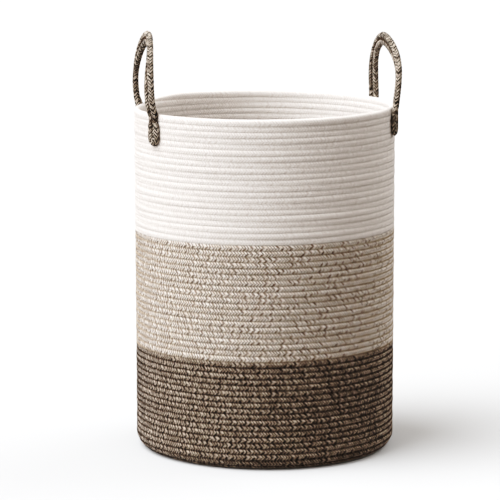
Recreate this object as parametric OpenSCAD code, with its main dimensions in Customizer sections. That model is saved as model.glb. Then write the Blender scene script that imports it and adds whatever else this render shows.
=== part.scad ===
// Tall round laundry hamper, wound from soft cotton rope and sewn turn to turn.
// It is open at the top and has two upright handles, each a doubled rope.
// Units: mm. Z is up. The origin is the centre of the footprint, on the floor.
// The handles stand on the -X side (left) and the +X side (right); -Y is the front.

/* [Basket] */
// Outside diameter of the wall
basket_d = 380; // [320:10:460]
// Height from the floor to the top of the rim
basket_h = 500; // [420:10:580]
// Turns of dark rope in the upright wall
dark_turns = 17; // [12:1:20]
// Turns of tan rope in the wall
tan_turns = 20; // [16:1:24]
// Turns of white rope in the wall
white_turns = 21; // [16:1:24]
// Thickness of the wall at the groove between two turns
web_t = 5; // [4:0.5:5.5]
// How far the rope under the base is pressed flat by the load
foot_flat = 0.4; // [0.2:0.1:0.6]
// Diameter of the thread that sews the turns together
thread_d = 1; // [0.6:0.1:1]

/* [Handles] */
// Diameter of each of the two ropes of a handle
handle_rope_d = 9; // [8:0.5:10]
// Height of a handle's top above the rim
handle_rise = 109; // [97:1:130]
// Distance between the middles of a handle's two ends
handle_span = 158; // [140:2:160]
// Space between the two ropes of a handle
rope_gap = 1.2; // [0.6:0.1:1.2]
// Length of the straight part of an end that is sewn to the wall
tab_len = 26; // [20:1:48]
// Depth of the sewn end's top below the rim
tab_drop = 9; // [8:0.5:14]
// Diameter of the thread that sews a handle
seam_d = 1.4; // [1.3:0.1:1.6]

/* [Hidden] */

section_fn = 40;
round_fn = 144;
coil_sides = 12; // the sewing pulls the wall's rope a little out of round
thread_sides = 4; // a taut thread pulled down into a groove
press = 0.3; // how far a sewn end is pressed into the wall

// The wall's turns stack up from a heel, a quarter round of three steps of 30 degrees.
// The heel's radius makes one step as long as the rope is thick.
heel_step = 30;
wall_turns = dark_turns + tan_turns + white_turns;
rope_d = (basket_h + foot_flat) / (wall_turns + 180 / heel_step / PI);
heel_r = rope_d * 180 / heel_step / PI;
turn_r = (basket_d - rope_d) / 2;
heel_at_r = turn_r - heel_r;
base_z = rope_d / 2 - foot_flat;
heel_at_z = base_z + heel_r;
base_rings = floor(heel_at_r / rope_d) + 1;
core_r = heel_at_r - (base_rings - 1) * rope_d;
thread_off = (web_t + thread_d) / 2;

first_tan = dark_turns;
first_white = dark_turns + tan_turns;

// The handle's ends are sewn to the outside of the wall, so its flat frame stands on the
// chord between them. Each end bends freely from its sewn top to just above the rim.
rope_off = (handle_rope_d + rope_gap) / 2;
tab_r = basket_d / 2 + handle_rope_d / 2 - press;
tab_top = basket_h - tab_drop;
tab_low = tab_top - tab_len;
fold_gap = 3; // room over the rim for a handle that is folded in
pivot_z = basket_h + handle_rope_d / 2 + fold_gap;
half_span = handle_span / 2;
end_angle = asin(half_span / tab_r); // round the basket, from a handle's middle to its end
arch_x = tab_r * cos(end_angle);

// The handle's middle line: two upright legs and a half round over them.
arch_rise = basket_h + handle_rise - handle_rope_d / 2 - rope_off - pivot_z;
leg_h = arch_rise - half_span;

// Thread lies in the groove between the two ropes and touches both.
seam_off = sqrt(pow((handle_rope_d + seam_d) / 2, 2) - pow(rope_off, 2));

DARK = [0.33, 0.28, 0.24];
TAN = [0.66, 0.59, 0.53];
WHITE = [0.90, 0.87, 0.84];
MIXED = [0.50, 0.45, 0.40];
DARK_THREAD = [0.24, 0.20, 0.17];
TAN_THREAD = [0.74, 0.67, 0.60];
WHITE_THREAD = [0.95, 0.94, 0.92];

function turn_z(k) = heel_at_z + k * rope_d;

// ---- wall and base ----

module rope_section() circle(d = rope_d, $fn = coil_sides);

module revolve() rotate_extrude($fn = round_fn) children();

// Rope sections of the wall turns first to last, with the sewn web that joins them.
module wall_turns_2d(first, last, web_low, web_high) {
    for (k = [first : last]) translate([turn_r, turn_z(k)]) rope_section();
    translate([turn_r - web_t / 2, web_low]) square([web_t, web_high - web_low]);
}

// Everything on one side of the line where the base's last turn meets the heel's first.
module heel_side_2d() {
    reach = basket_d;
    a = -90 + heel_step / 2;
    translate([heel_at_r, heel_at_z])
        polygon([[0, 0], reach * [cos(a), sin(a)], reach * [1, 0], [reach, basket_h],
                 [-heel_r, basket_h], [-heel_r, 0]]);
}

// The web that follows the heel's quarter round.
module heel_web_2d() {
    translate([heel_at_r, heel_at_z]) intersection() {
        difference() {
            circle(r = heel_r + web_t / 2, $fn = round_fn);
            circle(r = heel_r - web_t / 2, $fn = round_fn);
        }
        translate([0, -2 * heel_r]) square(2 * heel_r);
    }
}

// The base is wound from a solid core, the rope's folded start.
module base_coil() {
    color(DARK) revolve() difference() {
        intersection() {
            union() {
                for (j = [0 : base_rings - 1])
                    translate([heel_at_r - j * rope_d, base_z]) rope_section();
                translate([0, base_z - rope_d / 2]) square([core_r, rope_d]);
                translate([0, base_z - web_t / 2]) square([heel_at_r, web_t]);
                heel_web_2d();
            }
            square([basket_d, heel_at_z]);
        }
        heel_side_2d();
    }
}

module dark_wall_coil() {
    color(DARK) revolve() intersection() {
        union() {
            for (a = [-90 + heel_step : heel_step : -heel_step])
                translate([heel_at_r, heel_at_z] + heel_r * [cos(a), sin(a)]) rope_section();
            heel_web_2d();
            wall_turns_2d(0, first_tan - 1, heel_at_z, turn_z(first_tan) - rope_d / 2);
        }
        heel_side_2d();
    }
}

module tan_wall_coil() {
    color(TAN) revolve()
        wall_turns_2d(first_tan, first_white - 1,
                      turn_z(first_tan) - rope_d / 2, turn_z(first_white) - rope_d / 2);
}

module white_wall_coil() {
    color(WHITE) revolve()
        wall_turns_2d(first_white, wall_turns - 1,
                      turn_z(first_white) - rope_d / 2, turn_z(wall_turns - 1));
}

// ---- thread between the turns, outside and inside ----

module thread_ring(r, z) {
    translate([0, 0, z]) rotate_extrude($fn = round_fn)
        translate([r, 0]) circle(d = thread_d, $fn = thread_sides);
}

// The thread below the wall turns first to last.
module wall_thread(first, last) {
    for (k = [first : last], side = [-1, 1])
        thread_ring(turn_r + side * thread_off, turn_z(k) - rope_d / 2);
}

module base_stitching() {
    color(DARK_THREAD)
        for (j = [0 : base_rings - 2], side = [-1, 1])
            thread_ring(heel_at_r - (j + 0.5) * rope_d, base_z + side * thread_off);
}

module dark_stitching() {
    color(DARK_THREAD) {
        for (a = [-90 + heel_step / 2 : heel_step : 0], side = [-1, 1])
            thread_ring(heel_at_r + (heel_r + side * thread_off) * cos(a),
                        heel_at_z + (heel_r + side * thread_off) * sin(a));
        wall_thread(1, first_tan - 1);
    }
}

module tan_stitching() {
    color(TAN_THREAD) wall_thread(first_tan, first_white - 1);
}

module white_stitching() {
    color(WHITE_THREAD) wall_thread(first_white, wall_turns - 1);
}

// ---- handles ----
// side is -1 on the left and 1 on the right; end is -1 at the front and 1 at the rear.

// One line of the handle's frame, off from its middle line and out from its plane.
module arch_line(side, off, d, out) {
    translate([side * (arch_x + out), 0, pivot_z]) {
        for (end = [-1, 1]) translate([0, end * (half_span + off), 0])
            cylinder(h = leg_h, d = d, $fn = section_fn);
        translate([0, 0, leg_h]) rotate([90, 0, 90])
            rotate_extrude(angle = 180, $fn = round_fn)
                translate([half_span + off, 0]) circle(d = d, $fn = section_fn);
    }
}

module handle_arch(side) {
    color(MIXED) for (s = [-1, 1]) arch_line(side, s * rope_off, handle_rope_d, 0);
}

module arch_seam(side) {
    color(DARK_THREAD) for (s = [-1, 1]) arch_line(side, 0, seam_d, s * seam_off);
}

// Puts its children at a sewn end, X outwards and Y round the basket.
module at_end(side, end) {
    rotate([0, 0, side < 0 ? 180 - end * end_angle : end * end_angle])
        translate([tab_r, 0, 0]) children();
}

module handle_tab(side, end) {
    color(MIXED) at_end(side, end) {
        for (s = [-1, 1]) translate([0, s * rope_off, tab_low])
            cylinder(h = tab_len, d = handle_rope_d, $fn = section_fn);
        translate([0, 0, tab_low]) rotate([0, 90, 0]) rotate([0, 0, -90])
            rotate_extrude(angle = 180, $fn = round_fn)
                translate([rope_off, 0]) circle(d = handle_rope_d, $fn = section_fn);
    }
}

// A seam down the groove, and three stitches that hold the end's top tight.
module tab_stitches(side, end) {
    tack_step = 2.2;
    tack_len = 2 * rope_off + 3;
    color(DARK_THREAD) at_end(side, end) {
        translate([seam_off, 0, tab_low])
            cylinder(h = tab_len - 4 * tack_step, d = seam_d, $fn = 24);
        for (n = [1 : 3])
            translate([(handle_rope_d + seam_d) / 2, -tack_len / 2, tab_top - n * tack_step])
                rotate([-90, 0, 0]) cylinder(h = tack_len, d = seam_d, $fn = 24);
    }
}

// The free stretch between a sewn end and the frame, where the handle bends.
module handle_bend(side, end) {
    slice = 0.1;
    color(MIXED) for (s = [-1, 1]) hull() {
        at_end(side, end) translate([0, side * end * s * rope_off, tab_top])
            cylinder(h = slice, d = handle_rope_d, $fn = 32);
        translate([side * arch_x, end * (half_span + s * rope_off), pivot_z - slice])
            cylinder(h = slice, d = handle_rope_d, $fn = 32);
    }
}

base_coil();
dark_wall_coil();
tan_wall_coil();
white_wall_coil();
base_stitching();
dark_stitching();
tan_stitching();
white_stitching();
handle_arch(-1);  // left_handle_arch
arch_seam(-1);  // left_arch_seam
handle_bend(-1, -1);  // left_front_bend
handle_bend(-1, 1);  // left_rear_bend
handle_tab(-1, -1);  // left_front_tab
handle_tab(-1, 1);  // left_rear_tab
tab_stitches(-1, -1);  // left_front_tab_stitches
tab_stitches(-1, 1);  // left_rear_tab_stitches
handle_arch(1);  // right_handle_arch
arch_seam(1);  // right_arch_seam
handle_bend(1, -1);  // right_front_bend
handle_bend(1, 1);  // right_rear_bend
handle_tab(1, -1);  // right_front_tab
handle_tab(1, 1);  // right_rear_tab
tab_stitches(1, -1);  // right_front_tab_stitches
tab_stitches(1, 1);  // right_rear_tab_stitches
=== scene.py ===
# Looks of a tall, open-topped laundry hamper: one long braided cotton rope, coiled and sewn turn
# to turn in three colours, with two upright handles of doubled rope.
import math

import bpy
import numpy as np
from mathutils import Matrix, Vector


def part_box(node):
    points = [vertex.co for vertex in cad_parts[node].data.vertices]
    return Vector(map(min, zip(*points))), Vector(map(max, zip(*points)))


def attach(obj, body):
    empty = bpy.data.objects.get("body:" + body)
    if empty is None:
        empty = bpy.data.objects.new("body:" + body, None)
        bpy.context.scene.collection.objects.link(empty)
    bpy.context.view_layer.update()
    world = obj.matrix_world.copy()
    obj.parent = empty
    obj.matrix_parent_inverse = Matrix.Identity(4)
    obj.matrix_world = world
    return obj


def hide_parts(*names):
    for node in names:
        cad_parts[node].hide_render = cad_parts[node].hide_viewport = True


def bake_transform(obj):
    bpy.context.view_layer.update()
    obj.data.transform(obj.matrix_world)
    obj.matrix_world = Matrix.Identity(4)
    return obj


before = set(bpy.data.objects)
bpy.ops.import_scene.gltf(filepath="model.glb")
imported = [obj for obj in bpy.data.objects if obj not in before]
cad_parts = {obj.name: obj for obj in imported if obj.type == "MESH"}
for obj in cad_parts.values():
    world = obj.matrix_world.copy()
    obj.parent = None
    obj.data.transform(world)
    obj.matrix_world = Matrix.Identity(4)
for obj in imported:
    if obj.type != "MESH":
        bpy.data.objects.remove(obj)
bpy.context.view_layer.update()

MM = 0.001
UP = np.array([0.0, 0.0, 1.0])

# ---------------------------------------------------------------- camera

CAMERA_AWAY = 3.8  # from the hamper's axis, over the floor
CAMERA_HIGH = 0.9017
CAMERA_AZIMUTH = -10.0  # degrees round from the front, towards the left
CAMERA_TILT = 9.18  # degrees down
CAMERA_PAN = 0.33  # degrees left of the hamper's axis
CAMERA_LENS = 188.28  # mm, on a 36 mm sensor


def add_camera():
    azimuth = math.radians(CAMERA_AZIMUTH)
    data = bpy.data.cameras.new("camera")
    data.lens = CAMERA_LENS
    data.sensor_width = 36
    data.clip_end = 200
    camera = bpy.data.objects.new("camera", data)
    camera.location = (CAMERA_AWAY * math.sin(azimuth), -CAMERA_AWAY * math.cos(azimuth), CAMERA_HIGH)
    camera.rotation_euler = (math.radians(90 - CAMERA_TILT), 0, azimuth + math.radians(CAMERA_PAN))
    bpy.context.scene.collection.objects.link(camera)
    bpy.context.scene.camera = camera


add_camera()

# ---------------------------------------------------------------- sizes, from the frame

DARK_TURNS = 17
TAN_TURNS = 20
WHITE_TURNS = 21
HEEL_TURNS = 3  # the quarter round between base and wall
HEEL_STEP = math.radians(90) / HEEL_TURNS

tan_low, tan_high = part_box("tan_wall_coil")
PITCH = (tan_high.z - tan_low.z) / TAN_TURNS  # height of one turn, and the rope's thickness
TURN_R = tan_high.x - PITCH / 2
HEEL_R = PITCH / HEEL_STEP
HEEL_AT_R = TURN_R - HEEL_R
HEEL_AT_Z = tan_low.z + PITCH / 2 - DARK_TURNS * PITCH
BASE_TURNS = HEEL_AT_R / PITCH

# The rope is one path, told by w: the turns above the wall's first turn, counted at the front.
# It climbs anticlockwise, seen from above, and changes colour at the back, half a turn from the front.
ROPE_START = 0.5 - HEEL_TURNS - BASE_TURNS
BASE_END = -HEEL_TURNS - 0.5
DARK_END = DARK_TURNS - 0.5
TAN_END = DARK_END + TAN_TURNS
ROPE_END = TAN_END + WHITE_TURNS + 0.22  # the end is sewn down behind the left handle
START_TAPER = 0.25  # turns over which the rope's start thickens
TUCK = 0.14  # turns over which the rope's end thins and sinks onto the turn below it
TUCK_SINK = PITCH * 0.62


def profile(w):
    """Radius, height and outward direction (r, z) of the coil's middle line at w turns."""
    heel = np.clip(w, -HEEL_TURNS, 0) * HEEL_STEP
    r = HEEL_AT_R + HEEL_R * np.cos(heel) + PITCH * np.minimum(w + HEEL_TURNS, 0)
    z = HEEL_AT_Z + HEEL_R * np.sin(heel) + PITCH * np.maximum(w, 0)
    return r, z, np.cos(heel), np.sin(heel)


def sway(w, azimuth, z):
    """Small shifts of the hand-guided turns, outwards and upwards: slow ones that neighbours share, and
    each turn's own."""
    share = np.clip(z / 0.5, 0, 1)  # none at the floor, most at the rim
    out = 0.9 * MM * share * np.sin(2 * azimuth + 0.8)
    out += 0.5 * MM * share * np.sin(3 * azimuth + 2.9 + 5 * z)
    up = 0.45 * MM * share ** 2 * np.sin(2 * azimuth + 2.1)
    turned = 2 * math.pi * w
    out += 0.16 * MM * (np.sin(0.37 * turned + 1.0) + np.sin(1.83 * turned) + np.sin(3.31 * turned + 2.0))
    up += 0.07 * MM * (np.sin(1.21 * turned + 0.5) + np.sin(2.57 * turned + 1.7))
    return out, up


def wall_frame(w, azimuth):
    """Points and the outward and along-the-wall directions at w turns, met at these azimuths."""
    r, z, out_r, out_z = profile(w)
    out, up = sway(w, azimuth, z)
    r, z = r + out * out_r, z + up
    radial = np.stack([np.cos(azimuth), np.sin(azimuth), np.zeros_like(azimuth)], 1)
    point = radial * r[:, None] + UP * z[:, None]
    outward = radial * out_r[:, None] + UP * out_z[:, None]
    across = UP * out_r[:, None] - radial * out_z[:, None]
    return point, outward, across


def azimuth_of(w):
    return 2 * math.pi * w - math.pi / 2


def smooth(x, low, high):
    t = np.clip((x - low) / (high - low), 0, 1)
    return t * t * (3 - 2 * t)


# ---------------------------------------------------------------- meshes


def new_mesh(name, points, quads, caps=()):
    """A smooth-shaded mesh from arrays of points and quads, with extra polygons as caps."""
    mesh = bpy.data.meshes.new(name)
    mesh.vertices.add(len(points))
    mesh.vertices.foreach_set("co", np.ascontiguousarray(points, np.float32).ravel())
    corners = [np.asarray(quads, np.int32).ravel()] + [np.asarray(c, np.int32) for c in caps]
    sizes = np.array([4] * len(quads) + [len(c) for c in caps], np.int32)
    corners = np.concatenate(corners)
    mesh.loops.add(len(corners))
    mesh.loops.foreach_set("vertex_index", corners)
    mesh.polygons.add(len(sizes))
    mesh.polygons.foreach_set("loop_start", np.concatenate([[0], np.cumsum(sizes)[:-1]]).astype(np.int32))
    mesh.polygons.foreach_set("use_smooth", np.ones(len(sizes), bool))
    mesh.update(calc_edges=True)
    piece = bpy.data.objects.new(name, mesh)
    bpy.context.scene.collection.objects.link(piece)
    return piece


def ring_quads(rings, sides, closed):
    """Quads between rings of points, each ring closed round its sides."""
    last = rings if closed else rings - 1
    i = np.repeat(np.arange(last), sides)
    k = np.tile(np.arange(sides), last)
    after, beside = (i + 1) % rings, (k + 1) % sides
    return np.stack([i * sides + k, i * sides + beside, after * sides + beside, after * sides + k], 1)


# A braid: columns of slanted strokes round the rope, slanting to and fro by turns. Points lie on the
# crests of the strokes and in the furrows between them.
BRAID_SLANT = 0.5  # how far a stroke leans to each side of its middle, in strokes


def column_grid(steps):
    """Place round the rope, in columns, of each point of a ring that takes so many steps in each column."""
    return np.concatenate([j + np.arange(n) / n for j, n in enumerate(steps)])


WALL_GRID = column_grid([3, 2, 3, 3, 2, 3])  # coarser where the turns touch
HANDLE_GRID = column_grid([4] * 6)


def braid(name, path, stroke, grid, size, depth, steps=2, closed=False, seed=0.0):
    """A braided rope along path(s): points and two directions across it at distances s, in metres.

    stroke is the length of one stroke along the rope, size(s, angle) gives how far its surface is from its
    middle along both directions, depth is how deep the furrows are, and steps the rings to a stroke. The
    strokes at a piece's ends slant past it, as far as the path goes, and mesh with the next piece's."""
    column = np.floor(grid)
    columns = int(column[-1]) + 1
    odd = column % 2
    lean = (grid - column) * 2 - 1  # -1 to 1 across a column
    slant = (1 - 2 * odd) * lean * BRAID_SLANT
    angle = grid * 2 * math.pi / columns
    start, end = path.span
    strokes = int(round((end - start) / stroke))
    rings = strokes * steps + (0 if closed else 1)
    i = np.arange(rings)
    s = (i[:, None] / steps - slant[None, :]) * (end - start) / strokes + start
    if not closed:
        s = np.clip(path.laid(s), *path.reach)
    phase = (i[:, None] / steps + 0.5 * odd[None, :]) % 1
    furrow = 0.5 + 0.5 * np.cos(2 * math.pi * phase)
    edge = np.abs(lean[None, :]) ** 4
    sink = depth * (furrow * (1 - edge) + 0.9 * edge)
    points, first, second = path(s.ravel())
    shape = (rings, len(grid))
    wide, high = size(s, np.broadcast_to(angle, shape))
    round_off = np.hypot(wide, high)
    wide, high = wide * (1 - sink / round_off), high * (1 - sink / round_off)
    points = points + first * wide.reshape(-1, 1) + second * high.reshape(-1, 1)
    sides = len(grid)
    caps = [] if closed else [np.arange(sides)[::-1], np.arange(sides) + (rings - 1) * sides]
    piece = new_mesh(name, points, ring_quads(rings, sides, closed), caps)
    mark_yarns(piece, grid, slant, strokes, steps, seed)
    return piece


def mark_yarns(piece, grid, slant, strokes, steps, seed):
    """Tell the material where each corner is: strokes along the rope, columns round it, the rope's seed."""
    sides = len(grid)
    i = np.repeat(np.arange(strokes * steps), sides)
    k = np.tile(np.arange(sides), strokes * steps)
    turned = np.append(grid, math.floor(grid[-1]) + 1)
    leaning = np.append(slant, slant[0])
    along = np.stack([i / steps - leaning[k], i / steps - leaning[k + 1],
                      (i + 1) / steps - leaning[k + 1], (i + 1) / steps - leaning[k]], 1).ravel()
    around = np.stack([turned[k], turned[k + 1], turned[k + 1], turned[k]], 1).ravel()
    yarn = np.zeros((len(piece.data.loops), 3), np.float32)
    yarn[:len(along), 0], yarn[:len(along), 1], yarn[:, 2] = along, around, seed
    piece.data.attributes.new("yarn", "FLOAT_VECTOR", "CORNER").data.foreach_set("vector", yarn.ravel())


def thread(name, lines, radius, sides=3):
    """Thin threads as one mesh: each line is (points, outward directions, closed or not)."""
    points, quads, caps, base = [], [], [], 0
    angles = math.pi / 2 + np.arange(sides) * 2 * math.pi / sides
    for line, outward in lines:
        ahead = np.gradient(line, axis=0)
        ahead /= np.linalg.norm(ahead, axis=1, keepdims=True)
        beside = np.cross(ahead, outward)
        beside /= np.linalg.norm(beside, axis=1, keepdims=True)
        over = np.cross(beside, ahead)
        ring = (line[:, None, :] + radius * (np.cos(angles)[None, :, None] * beside[:, None, :]
                                             + np.sin(angles)[None, :, None] * over[:, None, :]))
        points.append(ring.reshape(-1, 3))
        quads.append(ring_quads(len(line), sides, False) + base)
        caps += [np.arange(sides)[::-1] + base, np.arange(sides) + base + (len(line) - 1) * sides]
        base += len(line) * sides
    return new_mesh(name, np.concatenate(points), np.concatenate(quads), caps)


# ---------------------------------------------------------------- materials


def srgb(r, g, b):
    """An 8-bit screen colour as linear light."""
    return tuple((c / 255 / 12.92) if c <= 10 else ((c / 255 + 0.055) / 1.055) ** 2.4 for c in (r, g, b))


class Wiring:
    """Short ways to add and link a material's nodes."""

    def __init__(self, name):
        self.material = bpy.data.materials.new(name)
        self.material.use_nodes = True
        self.tree = self.material.node_tree
        self.shader = self.tree.nodes["Principled BSDF"]

    def add(self, kind, **settings):
        node = self.tree.nodes.new(kind)
        for key, value in settings.items():
            setattr(node, key, value)
        return node

    def put(self, value, socket):
        if isinstance(value, (int, float)):
            socket.default_value = value
        else:
            self.tree.links.new(value, socket)

    def math(self, operation, a, b=0.0, c=0.0):
        node = self.add("ShaderNodeMath", operation=operation)
        for value, socket in zip((a, b, c), node.inputs):
            self.put(value, socket)
        return node.outputs[0]

    def vector(self, x, y, z=0.0):
        node = self.add("ShaderNodeCombineXYZ")
        for value, socket in zip((x, y, z), node.inputs):
            self.put(value, socket)
        return node.outputs[0]

    def random(self, vector):
        node = self.add("ShaderNodeTexWhiteNoise", noise_dimensions="3D")
        self.put(vector, node.inputs["Vector"])
        return node.outputs["Value"]

    def mix(self, share, a, b, blend="MIX"):
        node = self.add("ShaderNodeMix", data_type="RGBA", blend_type=blend)
        self.put(share, node.inputs[0])
        for value, socket in ((a, node.inputs[6]), (b, node.inputs[7])):
            if isinstance(value, tuple):
                socket.default_value = (*value, 1)
            else:
                self.put(value, socket)
        return node.outputs[2]


class RopeWiring(Wiring):
    """A material that knows where on the braid a point is, from the mesh's yarn attribute."""

    def __init__(self, name):
        super().__init__(name)
        place = self.add("ShaderNodeAttribute", attribute_name="yarn")
        parts = self.add("ShaderNodeSeparateXYZ")
        self.put(place.outputs["Vector"], parts.inputs[0])
        self.along, self.around, self.seed = parts.outputs
        column = self.math("FLOOR", self.around)
        odd = self.math("MODULO", column, 2.0)
        lean = self.math("MULTIPLY_ADD", self.math("FRACT", self.around), 2.0, -1.0)
        slant = self.math("MULTIPLY", self.math("MULTIPLY_ADD", odd, -2 * BRAID_SLANT, BRAID_SLANT), lean)
        self.place = self.math("ADD", self.math("ADD", self.along, slant), self.math("MULTIPLY", odd, 0.5))
        self.stroke = self.math("FLOOR", self.place)
        within = self.math("FRACT", self.place)
        self.yarn_place = self.math("MULTIPLY", within, 2.0)
        self.yarn = self.math("FLOOR", self.yarn_place)  # 0 or 1 in each stroke
        self.key = self.math("MULTIPLY_ADD", self.seed, 17.0, column)
        self.yarn_key = self.math("MULTIPLY_ADD", self.stroke, 2.0, self.yarn)
        # 1 on a stroke's crest, 0 in the furrows between strokes and between columns; it shapes the bump,
        # and the painted shade in the furrows
        across = self.dome(self.math("FRACT", self.around), 6.0)
        self.height = self.math("MULTIPLY", self.dome(within, 3.0), across)
        self.fibres = self.noise("3D", 3.0, self.vector(
            self.math("MULTIPLY", self.place, 11.0), self.math("MULTIPLY", self.around, 2.2), self.seed))

    def dome(self, place, power):
        """1 in the middle of a place from 0 to 1, and 0 at both of its ends."""
        across = self.math("ABSOLUTE", self.math("MULTIPLY_ADD", place, 2.0, -1.0))
        return self.math("SUBTRACT", 1.0, self.math("POWER", across, power))

    def noise(self, dimensions, detail, vector):
        node = self.add("ShaderNodeTexNoise", noise_dimensions=dimensions)
        node.inputs["Scale"].default_value = 1.0
        node.inputs["Detail"].default_value = detail
        self.put(vector, node.inputs["Vector"])
        return node.outputs[0]

    def yarn_colour(self, yarns, stray):
        """Two yarns side by side in each stroke, one from the light half of yarns and one from the dark."""
        pick = self.random(self.vector(self.yarn_key, self.key, self.seed))
        strand = self.random(self.vector(self.stroke, self.key, self.math("ADD", self.seed, 5.0)))
        swapped = self.math("LESS_THAN", strand, stray)
        dark = self.math("ABSOLUTE", self.math("SUBTRACT", self.yarn, swapped))
        chosen = self.math("MULTIPLY_ADD", pick, 0.5, self.math("MULTIPLY", dark, 0.5))
        ramp = self.add("ShaderNodeValToRGB")
        ramp.color_ramp.interpolation = "CONSTANT"
        stops = ramp.color_ramp.elements
        for n, colour in enumerate(yarns):
            stop = stops[n] if n < 2 else stops.new(0.99)
            stop.position = n / len(yarns)
            stop.color = (*srgb(*colour), 1)
        self.put(chosen, ramp.inputs[0])
        return ramp.outputs[0]

    def shade(self, painted_furrow_shade, marl, fibre):
        """How light a yarn is, by its plies, its fibres and a slow change along the rope, and painted shade
        in the furrows.
        """
        ply_place = self.math("MULTIPLY_ADD", self.math("FRACT", self.around), 2.5,
                              self.math("FRACT", self.yarn_place))
        ply_key = self.math("ADD", self.math("FLOOR", ply_place), 9.0)
        ply = self.random(self.vector(self.yarn_key, self.key, ply_key))
        slow = self.noise("2D", 2.0, self.vector(self.math("MULTIPLY", self.along, 0.021), self.seed))
        shade = self.math("MULTIPLY_ADD", ply, marl, 1 - marl / 2)
        shade = self.math("MULTIPLY", shade, self.math("MULTIPLY_ADD", self.fibres, 2 * fibre, 1 - fibre))
        shade = self.math("MULTIPLY", shade, self.math("MULTIPLY_ADD", slow, 0.08, 0.96))
        # painted shade: the colour itself is darkened in the furrows between strokes and columns, beyond
        # the shade their relief casts
        painted_furrow_factor = self.math("MULTIPLY_ADD", self.height, 1 - painted_furrow_shade, painted_furrow_shade)
        return self.math("MULTIPLY", shade, painted_furrow_factor)

    def relief(self):
        """Rounded strokes with thin yarns and fibres in them, as a bump."""
        relief = self.math("MULTIPLY_ADD", self.dome(self.math("FRACT", self.yarn_place), 2.0), 0.35,
                           self.math("MULTIPLY", self.height, 0.5))
        relief = self.math("ADD", relief, self.math("MULTIPLY", self.fibres, 0.5))
        bump = self.add("ShaderNodeBump")
        bump.inputs["Strength"].default_value = 0.55
        bump.inputs["Distance"].default_value = 0.35 * MM
        self.put(relief, bump.inputs["Height"])
        return bump.outputs[0]


def rope_material(name, yarns, painted_furrow_shade, marl, fibre, stray):
    """Braided cotton. yarns is the yarns' screen colours, light to dark, and stray the share of strokes
    whose light and dark yarns have changed places. The furrow argument is how light the painted shade
    leaves the furrows, marl how much a yarn's own plies differ, and fibre how much its fibres do."""
    m = RopeWiring(name)
    shade = m.shade(painted_furrow_shade, marl, fibre)
    grey = m.add("ShaderNodeCombineColor")
    for socket in grey.inputs[:3]:
        m.put(shade, socket)
    colour = m.mix(1.0, m.yarn_colour(yarns, stray), grey.outputs[0], "MULTIPLY")
    m.put(colour, m.shader.inputs["Base Color"])
    m.put(m.relief(), m.shader.inputs["Normal"])
    m.shader.inputs["Roughness"].default_value = 0.92
    m.shader.inputs["Specular IOR Level"].default_value = 0.2
    m.shader.inputs["Sheen Weight"].default_value = 0.12
    m.shader.inputs["Sheen Roughness"].default_value = 0.5
    return m.material


def thread_material(name, colour):
    m = Wiring(name)
    m.shader.inputs["Base Color"].default_value = (*srgb(*colour), 1)
    m.shader.inputs["Roughness"].default_value = 0.85
    m.shader.inputs["Specular IOR Level"].default_value = 0.3
    return m.material


# Each rope's furrow number below is painted shade: how light its colour is left in the furrows between
# strokes
WHITE_ROPE = rope_material(
    "white_cotton", [(246, 243, 241), (240, 236, 233), (233, 228, 224), (225, 219, 215)],
    painted_furrow_shade=0.93, marl=0.03, fibre=0.05, stray=0.12)
TAN_ROPE = rope_material(
    "tan_cotton", [(255, 250, 244), (240, 231, 221), (146, 130, 117), (106, 91, 79)],
    painted_furrow_shade=0.62, marl=0.16, fibre=0.14, stray=0.2)
DARK_ROPE = rope_material(
    "dark_cotton", [(210, 196, 181), (166, 151, 137), (46, 38, 33), (28, 22, 18)],
    painted_furrow_shade=0.55, marl=0.20, fibre=0.14, stray=0.3)
HANDLE_ROPE = rope_material(
    "handle_cotton", [(214, 203, 190), (154, 143, 131), (47, 41, 36), (31, 26, 22)],
    painted_furrow_shade=0.50, marl=0.20, fibre=0.14, stray=0.3)
WHITE_THREAD = thread_material("white_thread", (240, 237, 233))
TAN_THREAD = thread_material("tan_thread", (196, 181, 163))
DARK_THREAD = thread_material("dark_thread", (74, 62, 53))
HANDLE_THREAD = thread_material("handle_thread", (84, 71, 60))


def finish_piece(piece, material, nodes):
    piece.data.materials.append(material)
    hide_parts(*nodes)


# ---------------------------------------------------------------- wall and base

STROKE = 4.1 * MM
HANDLE_STROKE = 4.6 * MM
WALL_FURROW = 0.42 * MM
SQUARENESS = 2.25  # 2 is a true ellipse; sewn turns are a little squarer


def super_ellipse(angle, wide, high, power=SQUARENESS):
    c, s = np.cos(angle), np.sin(angle)
    return wide * np.sign(c) * np.abs(c) ** (2 / power), high * np.sign(s) * np.abs(s) ** (2 / power)


PATH_SPARE = 0.02  # turns, more than a stroke's slant
POINTS_PER_TURN = 64


class CoilPath:
    """The coiled rope from one number of turns to another, by distance along it."""

    def __init__(self, first, last):
        # it goes a little past both, but never past the rope's own ends
        low, high = max(first - PATH_SPARE, ROPE_START), min(last + PATH_SPARE, ROPE_END)
        w = np.linspace(low, high, int((high - low) * POINTS_PER_TURN) + 2)
        r = profile(w)[0]
        steps = np.diff(w) * math.pi * (r[1:] + r[:-1])
        self.w = w
        self.s = np.concatenate([[0], np.cumsum(steps)])
        self.s -= np.interp(first, w, self.s)
        self.span = (0.0, np.interp(last, w, self.s))
        self.reach = (self.s[0], self.s[-1])

    def turns(self, s):
        return np.interp(s, self.s, self.w)

    def laid(self, s):
        """Where a stroke really lies: the braid is a little tighter in some places than in others. The
        periods don't fit the wall's turns, so neighbouring turns drift apart."""
        near = np.minimum(s - self.span[0], self.span[1] - s)
        tau = 2 * math.pi
        drift = 1.2 * np.sin(tau * s / 0.212) + np.sin(tau * s / 0.343 + 1)
        drift += 0.6 * np.sin(tau * s / 0.139 + 2)
        return s + MM * drift * smooth(near, 0.02, 0.25)

    def __call__(self, s):
        w = self.turns(s)
        return wall_frame(w, azimuth_of(w))


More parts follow.
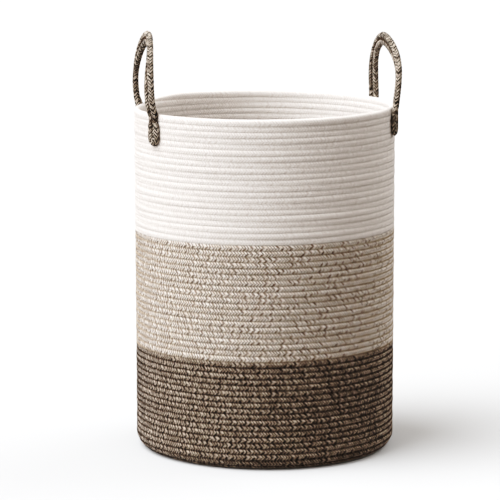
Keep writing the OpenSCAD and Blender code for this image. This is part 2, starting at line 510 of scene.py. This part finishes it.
def coil_piece(name, first, last, material, node, lap, seed):
    path = CoilPath(first, last)

    def size(s, angle):
        wide, high = super_ellipse(angle, PITCH / 2, PITCH / 2 + lap)
        w = path.turns(s)
        # both ends of the rope are drawn in; the upper one thins and lies down on the turn below
        start = np.clip((w - ROPE_START) / START_TAPER, 0.05, 1) ** 0.5
        end = smooth(ROPE_END - w, 0, TUCK)
        full = np.minimum(start, 0.15 + 0.85 * end)
        return wide * full, high * full - (1 - end) * TUCK_SINK

    piece = braid(name, path, STROKE, WALL_GRID, size, WALL_FURROW, seed=seed)
    co = np.empty(len(piece.data.vertices) * 3, np.float32)
    piece.data.vertices.foreach_get("co", co)
    co[2::3] = np.maximum(co[2::3], 0)  # the base's underside is pressed flat
    piece.data.vertices.foreach_set("co", co)
    finish_piece(piece, material, [node])
    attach(piece, "basket")


def coil_band(name, first, last, pieces, material, node, lap, seed):
    """One colour of the rope, as several pieces of whole turns. Each turn presses into the next by
    twice lap."""
    whole = np.round(np.linspace(0, last - first, pieces + 1))
    ends = first + np.append(whole[:-1], last - first)
    for n in range(pieces):
        coil_piece(f"{name}_{n + 1}", ends[n], ends[n + 1], material, node, lap, seed + n)


coil_band("base_rope", ROPE_START, BASE_END, 2, DARK_ROPE, "base_coil", 0.6 * MM, 1)
coil_band("dark_rope", BASE_END, DARK_END, 4, DARK_ROPE, "dark_wall_coil", 0.6 * MM, 11)
coil_band("tan_rope", DARK_END, TAN_END, 4, TAN_ROPE, "tan_wall_coil", 0.9 * MM, 21)
coil_band("white_rope", TAN_END, ROPE_END, 4, WHITE_ROPE, "white_wall_coil", 1.8 * MM, 31)

# ---------------------------------------------------------------- the zigzag threads

ZIGZAG_STEP = 2.5 * MM  # along the rope, from one needle hole to the next
ZIGZAG_REACH = 1.7 * MM  # to each side of the groove
ZIGZAG_OFF = 3.55 * MM  # from the wall's middle to the thread's
THREAD_R = 0.38 * MM


def zigzag(name, first, last, material, node):
    """The thread in the grooves between turns, outside and inside, from first to last."""
    path = CoilPath(first, last)
    lines = []
    for side in (1, -1):
        s = np.arange(0, path.span[1], ZIGZAG_STEP)
        w = path.turns(s)
        point, outward, across = wall_frame(w + 0.5, azimuth_of(w))
        to_and_fro = np.where(np.arange(len(s)) % 2, 1, -1)[:, None]
        line = point + outward * side * ZIGZAG_OFF + across * ZIGZAG_REACH * to_and_fro
        line[:, 2] = np.maximum(line[:, 2], THREAD_R)  # none goes below the floor
        lines.append((line, outward * side))
    piece = thread(name, lines, THREAD_R)
    finish_piece(piece, material, [node])
    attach(piece, "basket")


zigzag("base_zigzag", ROPE_START + 0.3, BASE_END, DARK_THREAD, "base_stitching")
zigzag("dark_zigzag", BASE_END, DARK_END - 1, DARK_THREAD, "dark_stitching")
zigzag("tan_zigzag", DARK_END - 1, TAN_END - 1, TAN_THREAD, "tan_stitching")
zigzag("white_zigzag", TAN_END - 1, ROPE_END - 1 - TUCK, WHITE_THREAD, "white_stitching")

# ---------------------------------------------------------------- handles

arch_low, arch_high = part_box("left_handle_arch")
tab_low, tab_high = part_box("left_front_tab")

RIM_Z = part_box("white_wall_coil")[1].z
ARCH_X = (arch_high.x + arch_low.x) / -2
TAB_TOP = tab_high.z
HANDLE_THICK = arch_high.x - arch_low.x  # of one rope
HALF_WIDE = (arch_high.y - arch_low.y) / 2
ROPE_OFF = 5.1 * MM  # from the middle of the doubled rope to the middle of each rope
HALF_SPAN = HALF_WIDE - ROPE_OFF - HANDLE_THICK / 2
ARCH_TOP = arch_high.z - ROPE_OFF - HANDLE_THICK / 2
END_ANGLE = math.atan2(HALF_SPAN, ARCH_X)
TAB_LOW = tab_low.z + ROPE_OFF + HANDLE_THICK / 2 + 2.5 * MM  # the ends spread as they are pressed flat
TWIST_Z = RIM_Z + 35 * MM
HANDLE_FURROW = 0.5 * MM
SEWN_LENGTH = 9 * MM  # below the tack, over which an end spreads to its full width
SEWN_SINK = 1.3 * MM  # how much nearer to the wall's middle a sewn end is pressed
SEWN_APART, SEWN_THINNER, SEWN_WIDER = 1.4 * MM, 0.9 * MM, 1.7 * MM  # its two ropes, pressed flat
TACK_PULL = 0.9 * MM  # how much the tack draws the rope in
TACK_REACH = 5 * MM  # how far from itself the tack does so
SEAM_STEP = 3 * MM  # along the doubled rope, from one needle hole to the next
SEAM_R = 0.45 * MM
TACK_TURNS = (-1.6 * MM, 0, 1.6 * MM)  # heights of its turns of thread
TACK_THREAD_R = 0.4 * MM
MIDDLE_POINTS = 700


class HandleLine:
    """The middle line of a handle's doubled rope, from its front end over the top to its rear end."""

    def __init__(self, side, bow, shoulder, spread, turn, lean, lift, front_high):
        arch_mid = ARCH_TOP - HALF_SPAN
        leg = arch_mid - TAB_LOW
        round_part = math.pi * HALF_SPAN
        q = np.linspace(0, 2 * leg + round_part, MIDDLE_POINTS)
        arc = np.clip((q - leg) / round_part, 0, 1) * math.pi
        down = np.maximum(q - leg - round_part, 0)
        y = -HALF_SPAN * np.cos(arc)
        z = np.minimum(TAB_LOW + q, arch_mid) + HALF_SPAN * np.sin(arc) - down
        low = TAB_TOP - z  # below the tack
        rise = np.clip((z - RIM_Z) / (ARCH_TOP - RIM_Z), 0, 1)
        out = np.where(y < 0, *bow) * np.sin(math.pi * rise ** shoulder) - lean * rise ** 2
        # the front end is raised by front_high at its tack, and its lowest part by half as much again
        raised = np.where(y < 0, front_high, 0) * (1 - smooth(z, TAB_TOP, RIM_Z + 30 * MM))
        z = z + lift * rise + raised * (1 + 0.5 * smooth(low, 0, 20 * MM))
        sunk = SEWN_SINK * (1 - smooth(z, TAB_TOP, RIM_Z + 10 * MM))
        x = side * (ARCH_X + out)
        # the ends are sewn on a little nearer to the front and back than the frame's, or further off
        spread = side * np.where(y < 0, -spread[0], spread[1]) * (1 - smooth(z, RIM_Z, ARCH_TOP))
        x, y = x * np.cos(spread) - y * np.sin(spread), x * np.sin(spread) + y * np.cos(spread)
        toward = np.stack([x, y, np.zeros_like(x)], 1)
        toward /= np.linalg.norm(toward, axis=1, keepdims=True)
        self.line = np.stack([x, y, z], 1) - toward * sunk[:, None]
        # the doubled rope lies against the wall below the rim, and turns into its own plane over the top
        above = smooth(z, TAB_TOP, RIM_Z + 12 * MM)
        turned = 1 - above + above * np.where(y < 0, *turn) * (1 - smooth(z, TWIST_Z, ARCH_TOP))
        tilt = side * END_ANGLE * np.sign(y) * turned + spread
        self.outward = side * np.stack([np.cos(tilt), np.sin(tilt), np.zeros_like(tilt)], 1)
        ahead = np.gradient(self.line, axis=0)
        ahead /= np.linalg.norm(ahead, axis=1, keepdims=True)
        beside = np.cross(ahead, self.outward)
        self.beside = beside / np.linalg.norm(beside, axis=1, keepdims=True)
        pull = TACK_PULL * np.exp(-(low / TACK_REACH) ** 2)
        sewn = smooth(low, 0, SEWN_LENGTH)
        self.off = ROPE_OFF + SEWN_APART * sewn - pull
        self.thick = HANDLE_THICK / 2 + 0.2 * MM - SEWN_THINNER * sewn - pull
        self.wide = HANDLE_THICK / 2 + 0.45 * MM + SEWN_WIDER * sewn - pull


class LoopPath:
    """The closed loop of rope that makes a handle: up, over and down on one side of the middle line,
    round the rear end, back on the other side, and round the front end."""

    def __init__(self, middle):
        m = middle
        there = m.line + m.beside * m.off[:, None]
        back = (m.line - m.beside * m.off[:, None])[::-1]
        beta = np.linspace(0, math.pi, 26)[1:-1]

        def end_turn(k, sign):
            return (m.line[k] + m.off[k] * (sign * np.cos(beta)[:, None] * m.beside[k]
                                            - np.sin(beta)[:, None] * UP))

        count = len(beta)
        points = np.concatenate([there, end_turn(-1, 1), back, end_turn(0, -1)])
        outward = np.concatenate([m.outward, np.repeat(m.outward[-1:], count, 0),
                                  m.outward[::-1], np.repeat(m.outward[:1], count, 0)])

        def all_round(v):
            return np.concatenate([v, np.full(count, v[-1]), v[::-1], np.full(count, v[0])])

        thick, wide = all_round(m.thick), all_round(m.wide)
        points, outward = np.vstack([points, points[:1]]), np.vstack([outward, outward[:1]])
        self.thick, self.wide = np.append(thick, thick[0]), np.append(wide, wide[0])
        self.s = np.concatenate([[0], np.cumsum(np.linalg.norm(np.diff(points, axis=0), axis=1))])
        self.points, self.outward = points, outward
        self.span = (0.0, self.s[-1])

    def at(self, s, values):
        s = np.mod(s, self.span[1])
        if values.ndim == 1:
            return np.interp(s, self.s, values)
        return np.stack([np.interp(s, self.s, values[:, n]) for n in range(3)], -1)

    def __call__(self, s):
        point = self.at(s, self.points)
        ahead = self.at(s + 0.6 * MM, self.points) - self.at(s - 0.6 * MM, self.points)
        ahead /= np.linalg.norm(ahead, axis=1, keepdims=True)
        outward = self.at(s, self.outward)
        outward -= ahead * np.sum(outward * ahead, axis=1, keepdims=True)
        outward /= np.linalg.norm(outward, axis=1, keepdims=True)
        return point, outward, np.cross(ahead, outward)


def groove_threads(middle):
    """Zigzag threads in the groove of the doubled rope, on both faces."""
    s = np.concatenate([[0], np.cumsum(np.linalg.norm(np.diff(middle.line, axis=0), axis=1))])
    stops = np.arange(0, s[-1], SEAM_STEP)

    def at(values):
        if values.ndim == 1:
            return np.interp(stops, s, values)[:, None]
        return np.stack([np.interp(stops, s, values[:, n]) for n in range(3)], -1)

    to_and_fro = np.where(np.arange(len(stops)) % 2, 1, -1)[:, None] * ZIGZAG_REACH
    lines = []
    for face in (1, -1):
        line = at(middle.line) + at(middle.beside) * to_and_fro
        line = line + at(middle.outward) * face * (at(middle.thick) * 0.74)  # partly down in the groove
        lines.append((line, at(middle.outward) * face))
    return lines


def tack_threads(middle, front_high):
    """Tight turns of thread over each end's top, from wall to wall."""
    lines = []
    for order in (1, -1):  # up from the front end, then up from the rear end
        line, outward, beside, off, thick, wide = (
            v[::order] for v in
            (middle.line, middle.outward, middle.beside, middle.off, middle.thick, middle.wide))
        half = len(line) // 2
        top = TAB_TOP + (front_high if order == 1 else 0)
        for step in TACK_TURNS:
            k = int(np.argmin(np.abs(line[:half, 2] - (top + step))))
            beta = np.linspace(-0.12, math.pi + 0.12, 28)
            reach, high = super_ellipse(beta, off[k] + wide[k] + 0.1 * MM, thick[k] + 0.15 * MM, 3.2)
            points = line[k] + beside[k] * reach[:, None] + outward[k] * high[:, None]
            points = points + UP * (np.linspace(-0.5, 0.5, len(beta)) * MM)[:, None]
            away = beside[k] * np.cos(beta)[:, None] + outward[k] * np.sin(beta)[:, None]
            lines.append((points, away))
    return lines


def add_handle(name, side, seed, **shape):
    middle = HandleLine(side, **shape)
    path = LoopPath(middle)

    def size(s, angle):
        thick, wide = path.at(s, path.thick), path.at(s, path.wide)
        return super_ellipse(angle, thick, wide, 2.0)

    rope = braid(f"{name}_handle_rope", path, HANDLE_STROKE, HANDLE_GRID, size, HANDLE_FURROW,
                 steps=4, closed=True, seed=seed)
    bends = [f"{name}_front_bend", f"{name}_rear_bend"]
    tabs = [f"{name}_front_tab", f"{name}_rear_tab"]
    finish_piece(rope, HANDLE_ROPE, [f"{name}_handle_arch", *bends, *tabs])
    seam = thread(f"{name}_handle_seam", groove_threads(middle), SEAM_R, sides=4)
    finish_piece(seam, HANDLE_THREAD, [f"{name}_arch_seam"])
    # both have their placing baked into their points
    for piece in (rope, seam):
        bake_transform(piece)
    tack = thread(f"{name}_handle_tacks", tack_threads(middle, shape["front_high"]), TACK_THREAD_R, sides=5)
    finish_piece(tack, HANDLE_THREAD,
                 [f"{name}_front_tab_stitches", f"{name}_rear_tab_stitches"])
    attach(tack, "basket")


# Each handle's own shape, in metres and radians, with (front leg, rear leg) pairs. bow is how far a leg
# stands outwards, highest up it where shoulder is greatest. spread is how far apart the ends are sewn,
# beyond the frame's. turn is how much of the wall's own turn a leg still has above the rim. lean is how
# far the top leans inwards, lift how much higher it is, and front_high how much higher the front end is.
add_handle("left", -1, 51, bow=(0.005, 0.0046), shoulder=0.75, spread=(0.016, 0.026), turn=(1.0, 0.35),
           lean=0.006, lift=0.003, front_high=0)
add_handle("right", 1, 61, bow=(0.006, -0.001), shoulder=1.6, spread=(-0.007, -0.021), turn=(0.35, 1.0),
           lean=0.0003, lift=-0.003, front_high=0.005)

# ---------------------------------------------------------------- floor and light


def add_stage():
    mesh = bpy.data.meshes.new("floor")
    mesh.from_pydata([(-40, -40, 0), (40, -40, 0), (40, 40, 0), (-40, 40, 0)], [], [(0, 1, 2, 3)])
    floor = bpy.data.objects.new("floor", mesh)
    bpy.context.scene.collection.objects.link(floor)
    m = Wiring("pale_floor")
    m.shader.inputs["Base Color"].default_value = (0.67, 0.695, 0.72, 1)
    m.shader.inputs["Roughness"].default_value = 0.9
    mesh.materials.append(m.material)
    floor.visible_diffuse = False  # it gives the hamper no light; the world does, from below


def add_world(above, below):
    """Even light from above and a dimmer one from below, as warm off-camera walls and table give."""
    world = bpy.data.worlds.new("studio")
    bpy.context.scene.world = world
    world.use_nodes = True
    nodes, links = world.node_tree.nodes, world.node_tree.links
    direction = nodes.new("ShaderNodeTexCoord")
    parts = nodes.new("ShaderNodeSeparateXYZ")
    level = nodes.new("ShaderNodeMapRange")
    level.inputs["From Min"].default_value = -0.1
    level.inputs["From Max"].default_value = 0.1
    colour = nodes.new("ShaderNodeMix")
    colour.data_type = "RGBA"
    colour.inputs[6].default_value = (*below, 1)
    colour.inputs[7].default_value = (*above, 1)
    links.new(direction.outputs["Generated"], parts.inputs[0])
    links.new(parts.outputs["Z"], level.inputs["Value"])
    links.new(level.outputs[0], colour.inputs[0])
    links.new(colour.outputs[2], nodes["Background"].inputs["Color"])


def add_sun(name, strength, colour, softness, azimuth, elevation):
    """All angles are in degrees. azimuth is to the right of the camera, negative on its left."""
    light = bpy.data.lights.new(name, "SUN")
    light.energy = strength
    light.color = colour
    light.angle = math.radians(softness)
    lamp = bpy.data.objects.new(name, light)
    azimuth, elevation = math.radians(CAMERA_AZIMUTH + azimuth), math.radians(elevation)
    toward = Vector((math.sin(azimuth) * math.cos(elevation), -math.cos(azimuth) * math.cos(elevation),
                     math.sin(elevation)))
    lamp.rotation_euler = toward.to_track_quat("Z", "Y").to_euler()
    bpy.context.scene.collection.objects.link(lamp)


add_stage()
add_world(above=(0.43, 0.39, 0.355), below=(0.21, 0.185, 0.165))
add_sun("side_light", 1.98, (1.0, 0.99, 1.0), softness=70, azimuth=-60, elevation=18)
add_sun("top_light", 2.6, (1.0, 1.0, 1.0), softness=44, azimuth=-75, elevation=63)
add_sun("back_light", 0.95, (1.0, 0.99, 0.97), softness=50, azimuth=122, elevation=38)


def set_tone():
    """A camera's usual tone curve: firm shadows and a soft shoulder, as (light, shown light) points."""
    view = bpy.context.scene.view_settings
    view.view_transform = "Standard"
    view.use_curve_mapping = True
    tone = view.curve_mapping.curves[3]
    tone.points[0].location = (0, 0)
    tone.points[-1].location = (1, 1)
    for light, shown in ((0.05, 0.025), (0.09, 0.068), (0.15, 0.17), (0.3, 0.4), (0.5, 0.65), (0.8, 0.89)):
        tone.points.new(light, shown)
    view.curve_mapping.update()


set_tone()
